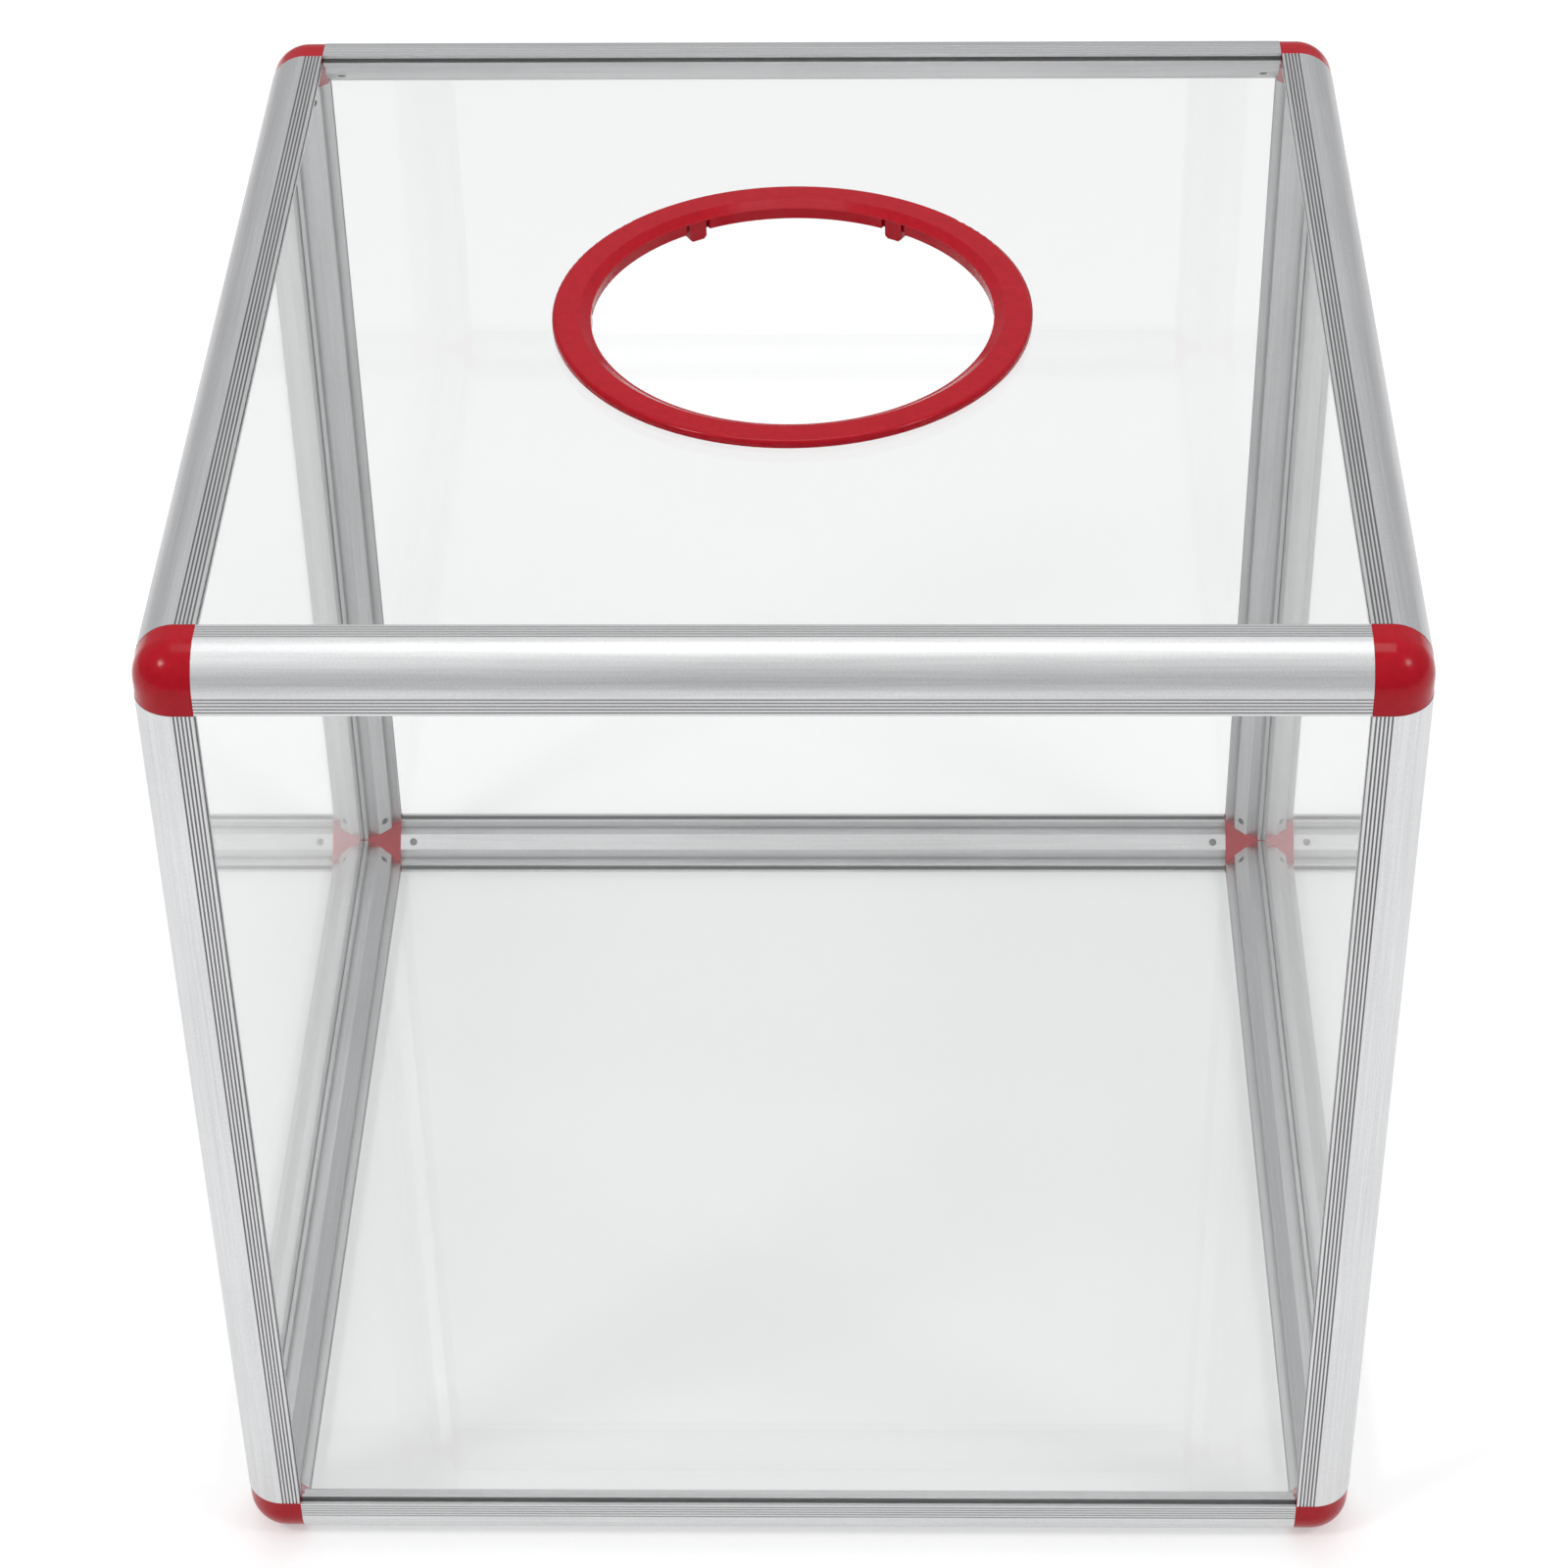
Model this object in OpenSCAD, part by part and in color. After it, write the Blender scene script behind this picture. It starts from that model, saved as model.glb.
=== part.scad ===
// Clear ballot box: twelve extruded edge rails plugged onto eight moulded corner
// connectors, six clear panels held in the rail slots, and a snap-in ring round the
// hand hole. Millimetres, X to the right, Y to the back, Z up, origin under the
// middle of the box on the surface it stands on.

/* [Box] */
// Width over the left and right rails
box_w = 300; // [200:5:400]
// Depth over the front and back rails
box_d = 300; // [200:5:400]
// Height over the bottom and top rails
box_h = 300; // [200:5:400]

/* [Panels] */
// Thickness of the clear panels
panel_t = 3; // [2:0.25:4]
// Spare width of a slot beyond the panel in it
slot_gap = 0.2; // [0.1:0.1:0.6]
// How deep the slots are, from the end of the lips
slot_depth = 6; // [5:0.5:7]
// Gap between a panel's edge and the bottom of its slot
edge_gap = 0.3; // [0.1:0.1:0.6]

/* [Edge rail] */
// Width of a rail's two outer faces
rail_w = 15; // [14.5:0.5:18]
// Radius of the round outer edge
rail_round = 10.5; // [8:0.5:12]
// Thickness of the outer skin and its lips
lip_t = 1; // [0.8:0.1:1.4]
// Thickness of the inner lips
inner_lip_t = 1.1; // [0.8:0.1:1.2]
// Thickness of the walls round the chamber that takes a connector's leg
chamber_wall = 1; // [0.8:0.1:1.3]
// How far the inner lips stand out past the chamber
inner_lip_reach = 2.6; // [2:0.2:3.4]
// Legs of the slanted inner face, which takes the pins
slant = 3.5; // [2.5:0.25:4]
// Number of fine grooves along each lip
groove_count = 5; // [0:1:6]
// Distance from groove to groove
groove_pitch = 0.93; // [0.7:0.01:1]
// Distance from the lip's end to the first groove's middle
groove_start = 0.85; // [0.6:0.05:1]
// Width of a groove at its mouth
groove_w = 0.5; // [0.2:0.02:0.6]
// Depth of a groove
groove_deep = 0.4; // [0.1:0.05:0.5]

/* [Corner connector] */
// Clearance between the lips of rails that meet at a corner
corner_gap = 0.2; // [0.1:0.1:0.6]
// How far a connector's skin lies below the rails' skin
corner_inset = 0.15; // [0:0.05:0.3]
// Length of a connector's legs inside the rails
leg_len = 22; // [14:1:40]
// Clearance round a leg in its rail
leg_gap = 0.1; // [0.05:0.05:0.3]
// Size of the lead-in bevel on a leg's tip
leg_bevel = 1; // [0.5:0.25:1.5]

/* [Locking pins] */
// Diameter of a pin
pin_d = 2; // [1.4:0.1:2.2]
// Length of a pin
pin_len = 5; // [4:0.5:5.5]
// Diameter of the hole in the rail round a pin
pin_hole_d = 2.3; // [2.2:0.1:3]
// Distance from a rail's end to its pin
pin_from_end = 4.2; // [3:0.2:10]
// How far a pin's end lies below the slanted face
pin_sunk = 0.4; // [0:0.1:0.6]

/* [Ring] */
// Diameter of the ring's bore
ring_bore = 103; // [80:1:130]
// Width of the flange that covers the edge of the hole
flange_w = 9.8; // [8:0.2:12]
// Thickness of the flange
flange_t = 2; // [1.8:0.1:3]
// Radius of the flange's outer top edge
flange_round = 1; // [0.5:0.1:1.5]
// Width of the bevel that leads into the bore
bevel_w = 2.4; // [1:0.2:3]
// How far the bevel drops
bevel_drop = 1.5; // [0.8:0.1:1.5]
// Width of the fine step between the bevel and the bore
step_w = 0.4; // [0.2:0.1:0.6]
// Wall of the skirt that fills the hole
skirt_wall = 1.8; // [1.6:0.1:2.2]
// How far the skirt reaches below the flange
skirt_h = 2.4; // [1.5:0.1:2.4]
// Clearance between the skirt and the edge of the hole
hole_gap = 0.2; // [0.1:0.05:0.5]
// Number of snap tabs
tab_count = 6; // [4:1:8]
// Width of a snap tab
tab_w = 4.9; // [4:0.1:8]
// Width of the slit on each side of a tab
slit_w = 1; // [0.5:0.1:1.4]
// How far the slits run up past the flange's underside
slit_up = 0.3; // [0:0.1:0.3]
// How far a tab's hook reaches under the panel
hook_reach = 0.8; // [0.4:0.1:1.2]
// Height of a hook
hook_h = 1.9; // [1.6:0.1:3]
// Clearance between the hooks and the panel
hook_gap = 0.1; // [0.05:0.05:0.3]

/* [Hidden] */
$fn = 96;
eps = 0.01;

// Layers of the rail's section, counted inwards from an outer face
slot_w = panel_t + slot_gap;
inner_lip_at = lip_t + slot_w;
inner_face = inner_lip_at + inner_lip_t;
slot_bottom = rail_w - slot_depth;

// Chamber of the rail: its outside and inside, and the sums that set its slant
chamber_out = rail_w - inner_lip_reach;
chamber_in = chamber_out - chamber_wall;
slant_sum = 2 * chamber_out - slant;
slant_sum_in = slant_sum - chamber_wall * sqrt(2);

// Corner block and the lengths of the rails between two blocks
corner = rail_w + corner_gap;
rail_len_x = box_w - 2 * corner;
rail_len_y = box_d - 2 * corner;
rail_len_z = box_h - 2 * corner;

// Leg of a connector
leg_lo = inner_face + leg_gap;
leg_hi = chamber_in - leg_gap;
leg_sum = slant_sum_in - leg_gap * sqrt(2);

// Panels: their outer face and their edges, counted inwards from the box's faces
panel_at = lip_t + slot_gap / 2;
panel_edge = slot_bottom + edge_gap;

// Ring, counted from its axis and from the top panel's upper face
bore_r = ring_bore / 2;
flange_r = bore_r + flange_w;
skirt_r = bore_r + skirt_wall;
step_r = bore_r + step_w;
hole_r = skirt_r + hole_gap;
hook_r = hole_r + hook_reach;
hook_top = -panel_t - hook_gap;
tab_low = hook_top - hook_h;
tab_bevel = tab_w / 6;

// Puts a shape drawn in the corner at the origin into the corner of the box on
// side sx, sy, sz, so that it still points to the inside
module at_corner(sx, sy, sz) {
    translate([sx * box_w / 2, sy * box_d / 2, sz > 0 ? box_h : 0])
        mirror([sx > 0 ? 1 : 0, 0, 0])
        mirror([0, sy > 0 ? 1 : 0, 0])
        mirror([0, 0, sz > 0 ? 1 : 0])
        children();
}

// Turns a shape that runs along Z so that it runs along X or Y from the same corner
module along_x() {
    rotate([90, 0, 90])
        children();
}

module along_y() {
    along_x()
        along_x()
        children();
}

// Both legs of a section that is the same on its two sides
module both_sides() {
    children();
    mirror([1, -1, 0])
        children();
}

// Outline of a rail without slots and hollows
module rail_outline() {
    difference() {
        square(rail_w);
        square(rail_round);
    }
    intersection() {
        translate([rail_round, rail_round])
            circle(rail_round);
        square(rail_round + eps);
    }
}

// Space on the inner side of the chamber, between the two inner lips
module inner_side() {
    far = rail_w + eps;
    polygon([
        [inner_face, far], [inner_face, chamber_out], [slant_sum - chamber_out, chamber_out],
        [chamber_out, slant_sum - chamber_out], [chamber_out, inner_face], [far, inner_face],
        [far, far]
    ]);
}

// Chamber that takes the leg; lo, hi and diagonal are its sides
module chamber_shape(lo, hi, diagonal) {
    polygon([[lo, lo], [hi, lo], [hi, diagonal - hi], [diagonal - hi, hi], [lo, hi]]);
}

// Hollow behind the round skin, between the two slot webs
module skin_hollow() {
    reach = slot_bottom - chamber_wall;
    intersection() {
        translate([rail_round, rail_round])
            circle(rail_round - lip_t);
        both_sides()
            square([inner_lip_at, reach]);
    }
}

module slot_shape() {
    translate([lip_t, slot_bottom])
        square([slot_w, slot_depth + eps]);
}

module groove_shapes() {
    for (i = [0 : 1 : groove_count - 1])
        translate([0, rail_w - groove_start - i * groove_pitch])
            polygon([[-eps, groove_w / 2], [groove_deep, 0], [-eps, -groove_w / 2]]);
}

module rail_section() {
    difference() {
        rail_outline();
        inner_side();
        both_sides()
            slot_shape();
        both_sides()
            groove_shapes();
        chamber_shape(inner_face, chamber_in, slant_sum_in);
        skin_hollow();
    }
}

// Puts a pin or its hole at height z of a rail: the axis lies at 45 degrees in the
// section, and z = 0 of the shape is the slanted face, pointing out of it
module at_pin(z) {
    middle = slant_sum / 2;
    translate([middle, middle, z])
        rotate([0, 90, 45])
        children();
}

// Rail along Z that starts at a corner block; len is its length
module rail(len) {
    color("silver")
        translate([0, 0, corner])
        difference() {
            linear_extrude(len)
                rail_section();
            for (z = [pin_from_end, len - pin_from_end])
                at_pin(z)
                    translate([0, 0, -2 * chamber_wall])
                    cylinder(h = 4 * chamber_wall, d = pin_hole_d);
        }
}

// Cube corner with round outer edges and a ball-shaped outer corner
module corner_block() {
    r = rail_round - corner_inset;
    rest = corner - rail_round;
    side = corner - corner_inset;
    translate([corner_inset, corner_inset, corner_inset])
        intersection() {
            cube(side);
            union() {
                translate([0, r, r])
                    cube([side, rest, rest]);
                translate([r, 0, r])
                    cube([rest, side, rest]);
                translate([r, r, 0])
                    cube([rest, rest, side]);
                translate([r, r, r])
                    sphere(r);
                translate([r, r, r])
                    cylinder(h = rest, r = r);
                translate([r, r, r])
                    rotate([0, 90, 0])
                    cylinder(h = rest, r = r);
                translate([r, r, r])
                    rotate([-90, 0, 0])
                    cylinder(h = rest, r = r);
            }
        }
}

// Leg along Z with bevelled tip
module leg() {
    top = corner + leg_len;
    intersection() {
        linear_extrude(top)
            chamber_shape(leg_lo, leg_hi, leg_sum);
        along_x()
            linear_extrude(leg_hi)
            leg_side(top);
        mirror([1, -1, 0])
            along_x()
            linear_extrude(leg_hi)
            leg_side(top);
    }
}

module leg_side(top) {
    polygon([
        [leg_lo, corner - lip_t], [leg_hi, corner - lip_t], [leg_hi, top - leg_bevel],
        [leg_hi - leg_bevel, top], [leg_lo + leg_bevel, top], [leg_lo, top - leg_bevel]
    ]);
}

// Runs its children along all three edges that meet in the corner
module three_ways() {
    children();
    along_x()
        children();
    along_y()
        children();
}

// Room for the corner of the panel that lies behind the Z-X face
module panel_corner_slot() {
    translate([lip_t, slot_bottom, slot_bottom])
        cube([slot_w, corner, corner]);
}

// Cuts the inner corner of the block flush with the slanted faces of the rails
module inner_cut() {
    rotate([0, acos(1 / sqrt(3)), 45])
        translate([-corner, -corner, (corner + slant_sum) / sqrt(3)])
        cube([2 * corner, 2 * corner, corner]);
}

module connector() {
    color("firebrick")
        difference() {
            union() {
                difference() {
                    corner_block();
                    inner_cut();
                    three_ways()
                        panel_corner_slot();
                }
                three_ways()
                    leg();
            }
            three_ways()
                at_pin(corner + pin_from_end)
                translate([0, 0, -pin_sunk - pin_len])
                cylinder(h = pin_len + 1, d = pin_d);
        }
}

module pin() {
    translate([0, 0, -pin_sunk - pin_len])
        cylinder(h = pin_len, d = pin_d);
}

// One pin through each end of each rail
module locking_pins() {
    color("lightgray")
        for (sx = [-1, 1], sy = [-1, 1], sz = [-1, 1])
            at_corner(sx, sy, sz)
                three_ways()
                at_pin(corner + pin_from_end)
                pin();
}

module pane(size) {
    color([0.92, 0.95, 0.96, 0.35])
        cube(size);
}

// Panels lie in the slots; each is drawn from the corner that it starts in
module panel_y(sy) {
    at_corner(-1, sy, -1)
        translate([panel_edge, panel_at, panel_edge])
        pane([box_w - 2 * panel_edge, panel_t, box_h - 2 * panel_edge]);
}

module panel_x(sx) {
    at_corner(sx, -1, -1)
        translate([panel_at, panel_edge, panel_edge])
        pane([panel_t, box_d - 2 * panel_edge, box_h - 2 * panel_edge]);
}

module panel_z(sz) {
    at_corner(-1, -1, sz)
        translate([panel_edge, panel_edge, panel_at])
        pane([box_w - 2 * panel_edge, box_d - 2 * panel_edge, panel_t]);
}

module panel_top() {
    difference() {
        panel_z(1);
        translate([0, 0, box_h - panel_at - panel_t - 1])
            cylinder(h = panel_t + 2, r = hole_r);
    }
}

// Half section of the flange and the skirt
module ring_section() {
    bevel_low = flange_t - bevel_drop;
    difference() {
        union() {
            translate([bore_r, 0])
                square([flange_w, flange_t - flange_round]);
            translate([bore_r, 0])
                square([flange_w - flange_round, flange_t]);
            translate([flange_r - flange_round, flange_t - flange_round])
                circle(flange_round);
            translate([bore_r, -skirt_h])
                square([skirt_wall, skirt_h + eps]);
        }
        polygon([
            [bore_r - 1, bevel_low], [step_r, bevel_low], [step_r + bevel_w, flange_t],
            [step_r + bevel_w, flange_t + 1], [bore_r - 1, flange_t + 1]
        ]);
    }
}

// Half section of a tab with its hook under the panel
module tab_section() {
    polygon([
        [bore_r, slit_up + eps], [bore_r, tab_low], [skirt_r - hook_reach / 2, tab_low],
        [hook_r, tab_low + hook_h / 2], [hook_r, hook_top], [skirt_r, hook_top],
        [skirt_r, slit_up + eps]
    ]);
}

// Face of a tab seen along its radius: bevelled at its lower corners
module tab_face() {
    half = tab_w / 2;
    polygon([
        [-half, flange_t], [-half, tab_low + tab_bevel], [-half + tab_bevel, tab_low],
        [half - tab_bevel, tab_low], [half, tab_low + tab_bevel], [half, flange_t]
    ]);
}

module tab() {
    intersection() {
        rotate_extrude()
            tab_section();
        along_x()
            linear_extrude(hook_r + 1)
            tab_face();
    }
}

// Window in the skirt for one tab and the slits beside it
module tab_window() {
    half = tab_w / 2 + slit_w;
    along_x()
        linear_extrude(skirt_r + eps)
        translate([-half, -skirt_h - 1])
        square([2 * half, skirt_h + 1 + slit_up]);
}

// Turns its children to each tab in turn, half a pitch to each side of the back
module at_tabs() {
    for (i = [0 : 1 : tab_count - 1])
        rotate([0, 0, 90 + (i + 0.5) * 360 / tab_count])
            children();
}

module hole_ring() {
    color("crimson")
        translate([0, 0, box_h - panel_at]) {
            difference() {
                rotate_extrude()
                    ring_section();
                at_tabs()
                    tab_window();
            }
            at_tabs()
                tab();
        }
}

at_corner(-1, -1, 1) along_x() rail(rail_len_x);  // rail_front_top
at_corner(-1, -1, -1) along_x() rail(rail_len_x);  // rail_front_bottom
at_corner(-1, 1, 1) along_x() rail(rail_len_x);  // rail_back_top
at_corner(-1, 1, -1) along_x() rail(rail_len_x);  // rail_back_bottom
at_corner(-1, -1, 1) along_y() rail(rail_len_y);  // rail_left_top
at_corner(-1, -1, -1) along_y() rail(rail_len_y);  // rail_left_bottom
at_corner(1, -1, 1) along_y() rail(rail_len_y);  // rail_right_top
at_corner(1, -1, -1) along_y() rail(rail_len_y);  // rail_right_bottom
at_corner(-1, -1, -1) rail(rail_len_z);  // rail_front_left
at_corner(1, -1, -1) rail(rail_len_z);  // rail_front_right
at_corner(-1, 1, -1) rail(rail_len_z);  // rail_back_left
at_corner(1, 1, -1) rail(rail_len_z);  // rail_back_right
at_corner(-1, -1, -1) connector();  // corner_front_left_bottom
at_corner(1, -1, -1) connector();  // corner_front_right_bottom
at_corner(-1, 1, -1) connector();  // corner_back_left_bottom
at_corner(1, 1, -1) connector();  // corner_back_right_bottom
at_corner(-1, -1, 1) connector();  // corner_front_left_top
at_corner(1, -1, 1) connector();  // corner_front_right_top
at_corner(-1, 1, 1) connector();  // corner_back_left_top
at_corner(1, 1, 1) connector();  // corner_back_right_top
panel_y(-1);  // panel_front
panel_y(1);  // panel_back
panel_x(-1);  // panel_left
panel_x(1);  // panel_right
panel_z(-1);  // panel_bottom
panel_top();
hole_ring();
locking_pins();
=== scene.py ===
# %% [markdown]
# # Clear ballot box
# A cube of clear sheets in grooved aluminium rails, with red plastic corners and
# a red ring round the hand hole. The solids come from the CAD model. This lesson
# gives them smooth shading and procedural materials, a white set and a camera.

import math

import bpy
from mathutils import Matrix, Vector


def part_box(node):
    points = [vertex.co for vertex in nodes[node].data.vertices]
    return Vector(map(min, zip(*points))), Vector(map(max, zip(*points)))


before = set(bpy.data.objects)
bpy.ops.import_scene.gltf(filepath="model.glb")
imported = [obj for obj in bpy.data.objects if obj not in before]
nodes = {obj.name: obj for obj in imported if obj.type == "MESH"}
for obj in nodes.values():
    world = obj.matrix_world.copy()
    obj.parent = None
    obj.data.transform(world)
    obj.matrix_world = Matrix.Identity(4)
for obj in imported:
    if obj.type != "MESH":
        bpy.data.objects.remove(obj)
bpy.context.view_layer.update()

# %% [markdown]
# ## Sorting the pieces
# The real box is put together from five kinds of parts, and each node's name
# starts with its kind. The pieces could be listed by hand, but one loop sorts
# them all into families. A rail also gets a `run` property: the direction in
# which it was extruded, which is its longest side. The aluminium material reads
# it, so one material suits all twelve rails.

# %% Sort the pieces
RUNS = ((1.0, 0.0, 0.0), (0.0, 1.0, 0.0), (0.0, 0.0, 1.0))
families = {"rail": [], "corner": [], "panel": [], "hole": [], "locking": []}
for name, obj in sorted(nodes.items()):
    families[name.split("_")[0]].append(obj)
for obj in families["rail"]:
    low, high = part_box(obj.name)
    extent = high - low
    longest = max(range(3), key=lambda i: extent[i])
    obj["run"] = RUNS[longest]
print({family: len(objs) for family, objs in families.items()})

# %% [markdown]
# ## Smooth shading with crisp edges
# The CAD mesh is made of flat facets. Smooth shading hides them on round faces,
# and edges sharper than 30 degrees stay crisp, as on the real extrusion. The
# Smooth by Angle modifier does the same, but marking the sharp edges on the mesh
# itself leaves no modifier behind.

# %% Shade smooth
SHARP = math.radians(30)
for obj in nodes.values():
    obj.data.polygons.foreach_set("use_smooth", [True] * len(obj.data.polygons))
    obj.data.set_sharp_from_angle(angle=SHARP)
print("smooth shading on", len(nodes), "meshes")

# %% [markdown]
# ## Helpers for node trees
# Every finish below is a node tree made in code. The nodes could be made and
# linked one statement at a time, but the tree is easier to read when a node is
# made, set and linked in one line. `feed` sets a socket to a number or a colour,
# or links it if it is given the output of another node.


# %% Node helpers
def add_node(tree, kind, **settings):
    made = tree.nodes.new(kind)
    for key, value in settings.items():
        setattr(made, key, value)
    return made


def feed(tree, value, socket):
    if isinstance(value, bpy.types.NodeSocket):
        tree.links.new(value, socket)
    else:
        socket.default_value = value


def maths(tree, operation, first, second):
    made = add_node(tree, "ShaderNodeMath", operation=operation)
    feed(tree, first, made.inputs[0])
    feed(tree, second, made.inputs[1])
    return made.outputs[0]


def noise(tree, vector, scale, detail):
    made = add_node(tree, "ShaderNodeTexNoise")
    feed(tree, vector, made.inputs["Vector"])
    feed(tree, scale, made.inputs["Scale"])
    feed(tree, detail, made.inputs["Detail"])
    return made.outputs["Fac"]


def remap(tree, value, start, end, low, high):
    made = add_node(tree, "ShaderNodeMapRange")
    feed(tree, value, made.inputs["Value"])
    feed(tree, start, made.inputs["From Min"])
    feed(tree, end, made.inputs["From Max"])
    feed(tree, low, made.inputs["To Min"])
    feed(tree, high, made.inputs["To Max"])
    return made.outputs["Result"]


def blend(tree, factor, first, second):
    made = add_node(tree, "ShaderNodeMix", data_type="RGBA")
    feed(tree, factor, made.inputs["Factor"])
    feed(tree, first, made.inputs["A"])
    feed(tree, second, made.inputs["B"])
    return made.outputs["Result"]


def ramp(tree, value, stops):
    made = add_node(tree, "ShaderNodeValToRGB")
    for element, (position, colour) in zip(made.color_ramp.elements, stops):
        element.position = position
        element.color = colour
    feed(tree, value, made.inputs["Fac"])
    return made.outputs["Color"]


print("helpers for node trees are ready")

# %% [markdown]
# ## Helpers for groups
# An effect that several finishes share is a group with named inputs and outputs.
# It could be copied into each material, but as a group it is built once, and each
# material only gives it its own values.


# %% Group helpers
def new_group(name, inputs, outputs):
    group = bpy.data.node_groups.new(name, "ShaderNodeTree")
    for label, value in inputs.items():
        socket = group.interface.new_socket(label, in_out="INPUT", socket_type="NodeSocketFloat")
        socket.default_value = value
    for label, kind in outputs.items():
        group.interface.new_socket(label, in_out="OUTPUT", socket_type=kind)
    return group, add_node(group, "NodeGroupInput").outputs, add_node(group, "NodeGroupOutput").inputs


def use_group(tree, group, values):
    made = add_node(tree, "ShaderNodeGroup", node_tree=group)
    for label, value in values.items():
        made.inputs[label].default_value = value
    return made.outputs


print("helpers for groups are ready")

# %% [markdown]
# ## Shared effect: worked edge
# No real edge is perfectly sharp. Edges could be rounded in the mesh, but that
# takes many faces. The Bevel node only bends the normal within a small radius of
# each edge, so that edges catch a thin line of light. The same group adds a fine
# grain to the surface: a height made from noise, stronger or weaker with the
# Grain input. The rails, the red plastic and the pins all use it.

# %% Group: worked edge
BEVEL_SAMPLES = 4
SPECKLE_DETAIL = 2.0
GRAIN_HEIGHT = 0.00005
worked, given, result = new_group(
    "worked_edge",
    {"Edge radius": 0.0002, "Grain size": 2000.0, "Grain": 0.1},
    {"Normal": "NodeSocketVector", "Speckle": "NodeSocketFloat"},
)
coords = add_node(worked, "ShaderNodeTexCoord")
speckle = noise(worked, coords.outputs["Object"], given["Grain size"], SPECKLE_DETAIL)
bevel = add_node(worked, "ShaderNodeBevel", samples=BEVEL_SAMPLES)
feed(worked, given["Edge radius"], bevel.inputs["Radius"])
bump = add_node(worked, "ShaderNodeBump")
feed(worked, GRAIN_HEIGHT, bump.inputs["Distance"])
feed(worked, given["Grain"], bump.inputs["Strength"])
feed(worked, speckle, bump.inputs["Height"])
feed(worked, bevel.outputs["Normal"], bump.inputs["Normal"])
feed(worked, bump.outputs["Normal"], result["Normal"])
feed(worked, speckle, result["Speckle"])
print("group", worked.name, "made")

# %% [markdown]
# ## Shared effect: handling
# A box that is passed round is never equally clean. The marks could be painted on
# an image, but slow noise needs no picture and gives the same soft patches on
# every piece. They change the roughness a little on all four finishes.

# %% Group: handling
PATCH_DETAIL = 4.0
PATCH_START = 0.35
PATCH_END = 0.65
handling, given, result = new_group(
    "handling",
    {"Patch size": 25.0, "Clean": 0.1, "Handled": 0.2},
    {"Roughness": "NodeSocketFloat"},
)
coords = add_node(handling, "ShaderNodeTexCoord")
patches = noise(handling, coords.outputs["Object"], given["Patch size"], PATCH_DETAIL)
patchy = remap(handling, patches, PATCH_START, PATCH_END, given["Clean"], given["Handled"])
feed(handling, patchy, result["Roughness"])
print("group", handling.name, "made")

# %% [markdown]
# ## A helper for materials
# Each finish could be mixed from simple shaders, but they all start from one
# Principled BSDF, which suits metal, plastic and clear acrylic alike. This helper
# makes the material and gives it to the pieces that are made of it.


# %% Material helper
def new_material(name, objs):
    material = bpy.data.materials.new(name)
    material.use_nodes = True
    tree = material.node_tree
    tree.nodes.clear()
    shader = add_node(tree, "ShaderNodeBsdfPrincipled")
    surface = add_node(tree, "ShaderNodeOutputMaterial").inputs["Surface"]
    feed(tree, shader.outputs["BSDF"], surface)
    for obj in objs:
        obj.data.materials.clear()
        obj.data.materials.append(material)
    return tree, shader, surface


print("helper for materials is ready")

# %% [markdown]
# ## Aluminium rails
# The rails are satin anodised aluminium, with faint streaks along the extrusion.
# A picture of brushed metal would need its own mapping on each rail. Noise needs
# none: its coordinates are squeezed along `run`, as
# coordinate - run * dot(coordinate, run) * RUN_SQUEEZE,
# which stretches the noise into streaks.

# %% Aluminium: streaks along the run
RUN_SQUEEZE = 0.985
STREAK_SCALE = 1500.0
STREAK_DETAIL = 3.0
tree, shader, _ = new_material("aluminium_rail", families["rail"])
coords = add_node(tree, "ShaderNodeTexCoord")
run = add_node(tree, "ShaderNodeAttribute", attribute_type="OBJECT", attribute_name="run")
along = add_node(tree, "ShaderNodeVectorMath", operation="DOT_PRODUCT")
feed(tree, coords.outputs["Object"], along.inputs[0])
feed(tree, run.outputs["Vector"], along.inputs[1])
shift = add_node(tree, "ShaderNodeVectorMath", operation="SCALE")
feed(tree, run.outputs["Vector"], shift.inputs[0])
feed(tree, maths(tree, "MULTIPLY", along.outputs["Value"], RUN_SQUEEZE), shift.inputs["Scale"])
squeezed = add_node(tree, "ShaderNodeVectorMath", operation="SUBTRACT")
feed(tree, coords.outputs["Object"], squeezed.inputs[0])
feed(tree, shift.outputs["Vector"], squeezed.inputs[1])
streaks = noise(tree, squeezed.outputs["Vector"], STREAK_SCALE, STREAK_DETAIL)
print("noise stretched", round(1 / (1 - RUN_SQUEEZE)), "times along the run")

# %% [markdown]
# ## Tone, painted slot shade and grain of the rails
# Half of the tone comes from the streaks and half from a sand-blasted speckle,
# where one even grey would look like paint. Ambient occlusion darkens the tone in
# slots and grooves: painted shade, where little light gets in. A mask could be
# painted for each rail, but occlusion finds the slots by itself.

# %% Aluminium: tone, painted shade in the slots, grain
STREAK_SHARE = 0.5
SPECKLE_SHARE = 0.5
ANODISED = ((0.3, (0.60, 0.605, 0.61, 1.0)), (0.7, (0.76, 0.765, 0.77, 1.0)))
SLOT_SAMPLES = 4
SLOT_REACH = 0.0014
# The dark grey of the painted shade in slots and grooves.
SLOT_PAINTED_SHADE = (0.24, 0.24, 0.25, 1.0)
edge = use_group(tree, worked, {"Edge radius": 0.00012, "Grain size": 2600.0, "Grain": 0.35})
worn = use_group(tree, handling, {"Patch size": 18.0, "Clean": 0.40, "Handled": 0.48})
streak_part = maths(tree, "MULTIPLY", streaks, STREAK_SHARE)
speckle_part = maths(tree, "MULTIPLY", edge["Speckle"], SPECKLE_SHARE)
tone = ramp(tree, maths(tree, "ADD", streak_part, speckle_part), ANODISED)
# Painted shade: occlusion mixes the dark grey into slots and grooves, where little light gets in.
deep = add_node(tree, "ShaderNodeAmbientOcclusion", samples=SLOT_SAMPLES, only_local=True)
feed(tree, SLOT_REACH, deep.inputs["Distance"])
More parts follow.
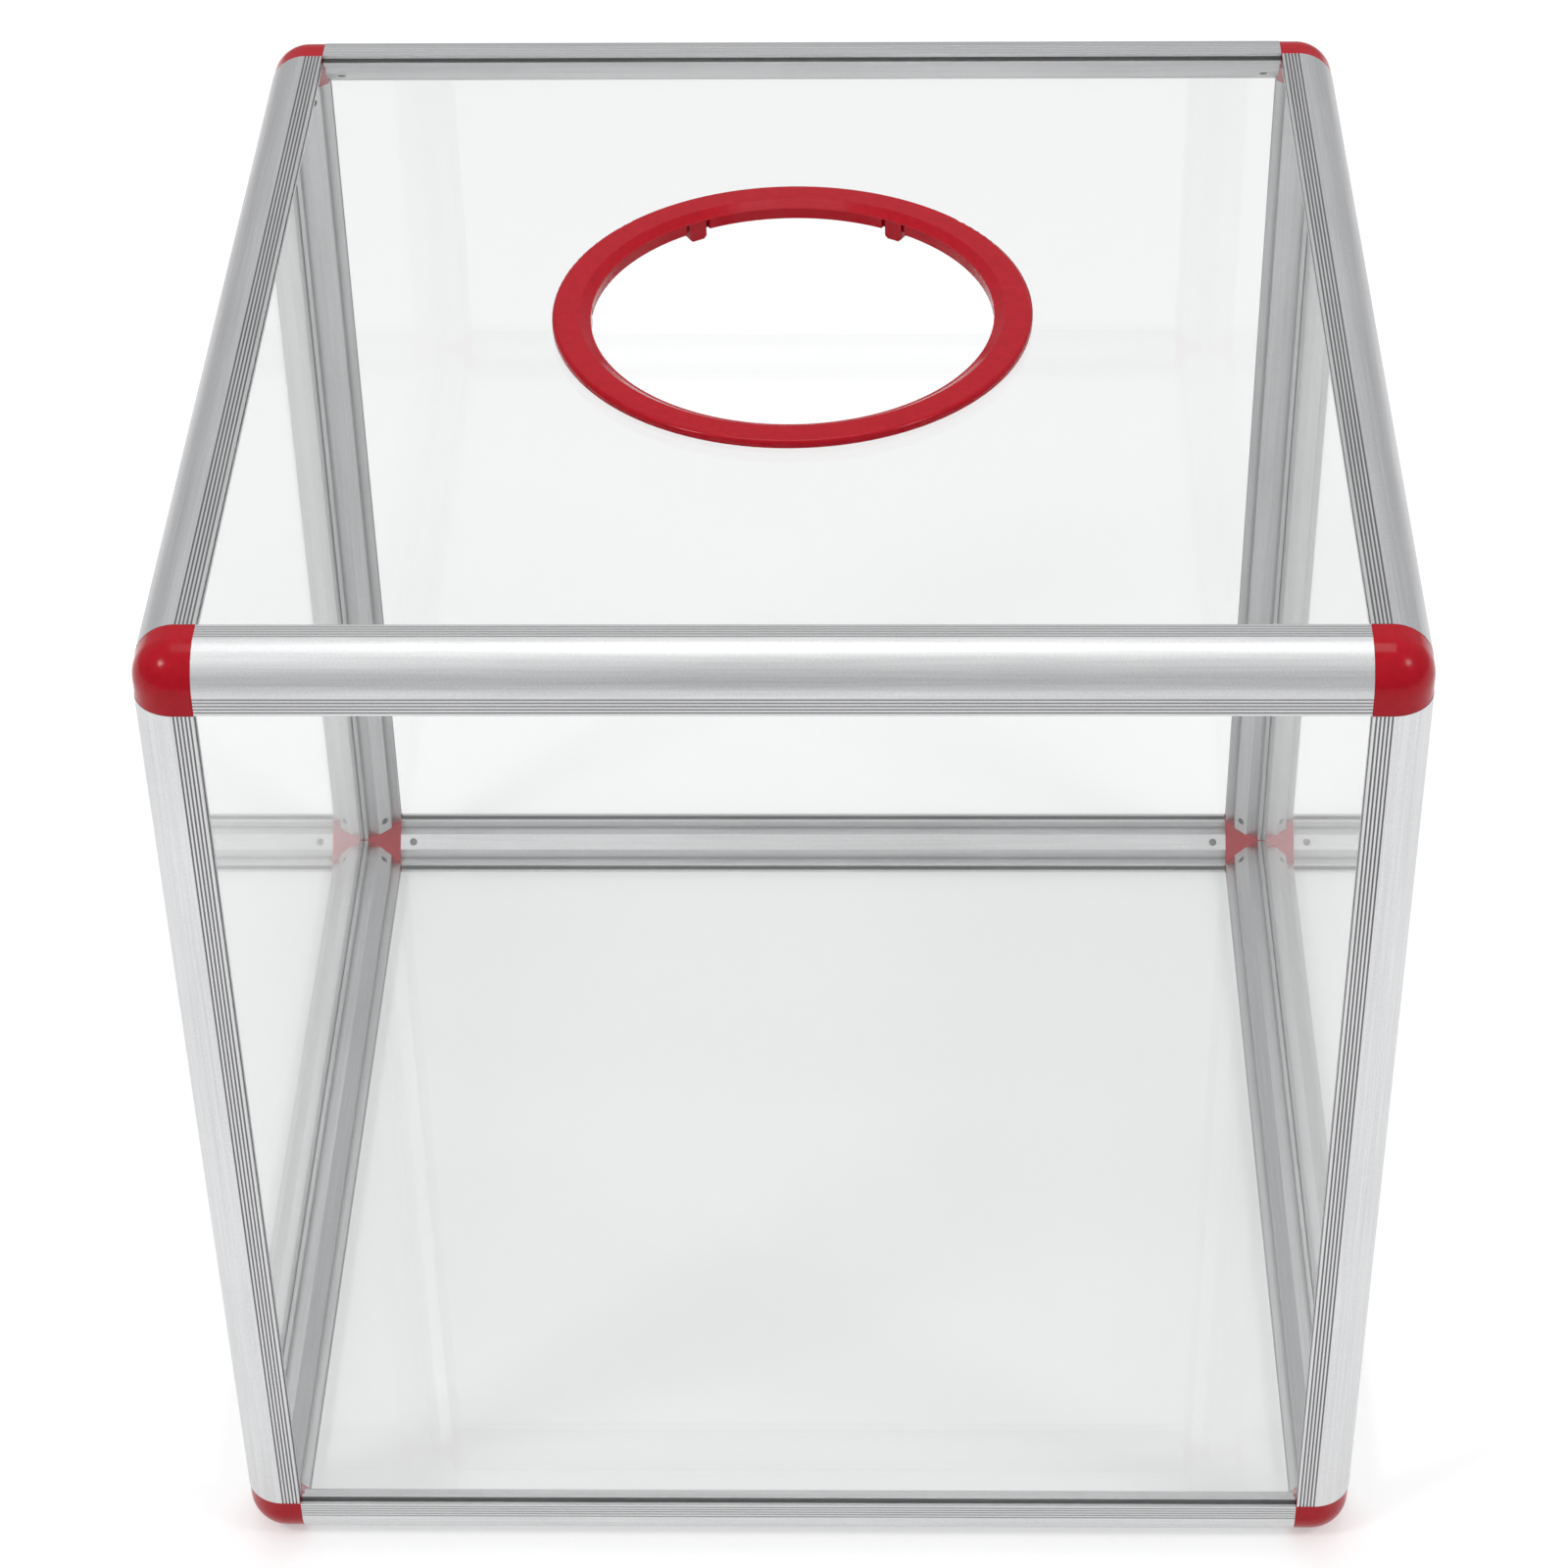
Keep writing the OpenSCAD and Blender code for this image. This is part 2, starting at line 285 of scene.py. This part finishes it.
feed(tree, blend(tree, deep.outputs["AO"], SLOT_PAINTED_SHADE, tone), shader.inputs["Base Color"])
feed(tree, worn["Roughness"], shader.inputs["Roughness"])
feed(tree, edge["Normal"], shader.inputs["Normal"])
feed(tree, 1.0, shader.inputs["Metallic"])
print("aluminium on", len(families["rail"]), "rails")

# %% [markdown]
# ## Red plastic
# The corners and the ring are glossy moulded plastic: a deep red with a clear
# sheen and hardly any grain. One flat colour would do, but a faint change of tone
# keeps it from looking lifeless. A low specular level keeps the white room from
# washing the red out.

# %% Red plastic
MOULDED_RED = ((0.3, (0.40, 0.0, 0.008, 1.0)), (0.7, (0.46, 0.001, 0.012, 1.0)))
tree, shader, _ = new_material("red_plastic", families["corner"] + families["hole"])
edge = use_group(tree, worked, {"Edge radius": 0.00025, "Grain size": 500.0, "Grain": 0.06})
worn = use_group(tree, handling, {"Patch size": 60.0, "Clean": 0.14, "Handled": 0.24})
feed(tree, ramp(tree, edge["Speckle"], MOULDED_RED), shader.inputs["Base Color"])
feed(tree, worn["Roughness"], shader.inputs["Roughness"])
feed(tree, edge["Normal"], shader.inputs["Normal"])
feed(tree, 1.5, shader.inputs["IOR"])
feed(tree, 0.22, shader.inputs["Specular IOR Level"])
print("red plastic on", len(families["corner"]) + len(families["hole"]), "pieces")

# %% [markdown]
# ## Steel pins
# Small bare steel pins lock the rails to the connectors. They could share the
# rails' metal, but they would hardly show, so they have a darker one, darker than
# bare steel: partly the pins' own tone, partly painted shade of the hole round
# each pin, so that each pin shows as a grey dot.

# %% Steel
# Both tones are darker than bare steel: partly the pins' own tone, partly painted shade of the holes
# round them.
STEEL_DARK = 0.12
STEEL_LIGHT = 0.35
tree, shader, _ = new_material("steel_pin", families["locking"])
edge = use_group(tree, worked, {"Edge radius": 0.00015, "Grain size": 4000.0, "Grain": 0.3})
worn = use_group(tree, handling, {"Patch size": 400.0, "Clean": 0.3, "Handled": 0.5})
grey = remap(tree, edge["Speckle"], 0.0, 1.0, STEEL_DARK, STEEL_LIGHT)
feed(tree, grey, shader.inputs["Base Color"])
feed(tree, worn["Roughness"], shader.inputs["Roughness"])
feed(tree, edge["Normal"], shader.inputs["Normal"])
feed(tree, 1.0, shader.inputs["Metallic"])
print("steel on", len(families["locking"]), "group of pins")

# %% [markdown]
# ## Clear acrylic
# Acrylic bends light (index 1.49) and reflects a little of the room. Mixing a
# transparent and a glossy shader would be simpler, but wouldn't bend light in the
# sheet's thickness. A refracting shader blocks shadow rays, though, and the inside
# of the box would be dark. So shadow rays and diffuse rays meet a transparent
# shader instead. Light Path tells which ray it is.

# %% Acrylic
ACRYLIC_TINT = (0.94, 0.943, 0.943, 1.0)
tree, shader, surface = new_material("clear_acrylic", families["panel"])
worn = use_group(tree, handling, {"Patch size": 12.0, "Clean": 0.0, "Handled": 0.012})
feed(tree, worn["Roughness"], shader.inputs["Roughness"])
feed(tree, 1.0, shader.inputs["Transmission Weight"])
feed(tree, 1.49, shader.inputs["IOR"])
feed(tree, 0.3, shader.inputs["Specular IOR Level"])
feed(tree, ACRYLIC_TINT, shader.inputs["Base Color"])
path = add_node(tree, "ShaderNodeLightPath").outputs
clear = add_node(tree, "ShaderNodeBsdfTransparent")
feed(tree, ACRYLIC_TINT, clear.inputs["Color"])
choose = add_node(tree, "ShaderNodeMixShader")
feed(tree, maths(tree, "MAXIMUM", path["Is Shadow Ray"], path["Is Diffuse Ray"]), choose.inputs["Fac"])
feed(tree, shader.outputs["BSDF"], choose.inputs[1])
feed(tree, clear.outputs["BSDF"], choose.inputs[2])
feed(tree, choose.outputs["Shader"], surface)
print("acrylic on", len(families["panel"]), "panels")

# %% [markdown]
# ## Slots of the part record
# The record of the part names four finishes, its slots. They could be given piece
# by piece, but all pieces of a family have one finish, which the material helper
# gave them above, so this cell only counts the pieces.

# %% Slots
print("slots given to", len(nodes), "pieces")

# %% [markdown]
# ## White floor
# The box stands on a white floor. More light would make it white too, but would
# bleach the box. So the floor stays a pale diffuse surface, which keeps the soft
# shadow, and glows a little, only where the camera, a reflection or a ray through
# the clear sheets sees it.

# %% Floor
FLOOR_HALF = 3.0
FLOOR_WHITE = (0.8, 0.8, 0.8, 1.0)
FLOOR_GLOW = 0.34
mesh = bpy.data.meshes.new("floor")
mesh.from_pydata(
    [(sx * FLOOR_HALF, sy * FLOOR_HALF, 0.0) for sx, sy in ((-1, -1), (1, -1), (1, 1), (-1, 1))],
    [], [(0, 1, 2, 3)],
)
floor = bpy.data.objects.new("floor", mesh)
bpy.context.scene.collection.objects.link(floor)
tree, shader, surface = new_material("white_floor", [floor])
feed(tree, FLOOR_WHITE, shader.inputs["Base Color"])
feed(tree, 0.9, shader.inputs["Roughness"])
feed(tree, 0.0, shader.inputs["Specular IOR Level"])
path = add_node(tree, "ShaderNodeLightPath").outputs
seen = maths(tree, "MAXIMUM", path["Is Camera Ray"], path["Is Glossy Ray"])
seen = maths(tree, "MAXIMUM", seen, path["Is Transmission Ray"])
glow = add_node(tree, "ShaderNodeEmission")
feed(tree, maths(tree, "MULTIPLY", seen, FLOOR_GLOW), glow.inputs["Strength"])
both = add_node(tree, "ShaderNodeAddShader")
feed(tree, shader.outputs["BSDF"], both.inputs[0])
feed(tree, glow.outputs["Emission"], both.inputs[1])
feed(tree, both.outputs["Shader"], surface)
print("floor of", 2 * FLOOR_HALF, "m, glow", FLOOR_GLOW)

# %% [markdown]
# ## White room
# The world is plain white for the camera. For all other rays it is a soft
# gradient, bright above and darker towards the horizon. An even white would light
# the box as well, but the gradient gives the round rails their shading.

# %% World
ROOM = ((0.0, (0.42, 0.42, 0.43, 1.0)), (0.8, (0.72, 0.72, 0.72, 1.0)))
ROOM_SEEN = (1.0, 1.0, 1.0, 1.0)
world = bpy.data.worlds.new("white_room")
bpy.context.scene.world = world
world.use_nodes = True
tree = world.node_tree
tree.nodes.clear()
coords = add_node(tree, "ShaderNodeTexCoord")
split = add_node(tree, "ShaderNodeSeparateXYZ")
feed(tree, coords.outputs["Generated"], split.inputs["Vector"])
gradient = ramp(tree, split.outputs["Z"], ROOM)
path = add_node(tree, "ShaderNodeLightPath").outputs
light = add_node(tree, "ShaderNodeBackground")
feed(tree, blend(tree, path["Is Camera Ray"], gradient, ROOM_SEEN), light.inputs["Color"])
out = add_node(tree, "ShaderNodeOutputWorld")
feed(tree, light.outputs["Background"], out.inputs["Surface"])
print("world", world.name, "made")

# %% [markdown]
# ## Lamps
# Product pictures are lit with softboxes. Point or sun lamps would give hard
# shadows; three square area lamps give soft ones and long highlights on the
# rails. A lamp behind the box would show in the sheets, so the third one hangs
# overhead.


# %% Lamps
def softbox(name, place, aim, width, watts):
    data = bpy.data.lights.new(name, "AREA")
    data.shape = "SQUARE"
    data.size = width
    data.energy = watts
    lamp = bpy.data.objects.new(name, data)
    lamp.location = place
    lamp.rotation_euler = (Vector(aim) - Vector(place)).to_track_quat("-Z", "Y").to_euler()
    bpy.context.scene.collection.objects.link(lamp)
    print("lamp", name, "of", watts, "W")


BOX_MIDDLE = (0.0, 0.0, 0.15)
BOX_LOWER_THIRD = (0.0, 0.0, 0.1)
softbox("key_left", place=(-1.3, -0.9, 1.9), aim=BOX_MIDDLE, width=0.4, watts=9.0)
softbox("fill_right", place=(1.4, -0.7, 1.7), aim=BOX_MIDDLE, width=0.4, watts=6.0)
softbox("overhead", place=(0.0, 0.4, 2.4), aim=BOX_LOWER_THIRD, width=1.0, watts=9.0)

# %% [markdown]
# ## Camera
# The camera stands in front of the box and looks down on it at 39 degrees. It
# could be placed by eye, but its place and lens were worked out from the rails'
# edges in the picture. The Standard view keeps colours as they are written.

# %% Camera
CAMERA_PLACE = (0.02354, -0.88084, 0.84912)
CAMERA_TURN = (0.889021, 0.010084, 0.012928)
CAMERA_LENS = 92.70
CAMERA_SHIFT = (-0.02189, 0.01979)
SENSOR_WIDTH = 36.0
data = bpy.data.cameras.new("camera")
data.sensor_width = SENSOR_WIDTH
data.lens = CAMERA_LENS
data.shift_x, data.shift_y = CAMERA_SHIFT
camera = bpy.data.objects.new("camera", data)
camera.location = CAMERA_PLACE
camera.rotation_euler = CAMERA_TURN
bpy.context.scene.collection.objects.link(camera)
bpy.context.scene.camera = camera
bpy.context.scene.view_settings.view_transform = "Standard"
print("camera with a lens of", CAMERA_LENS, "mm")
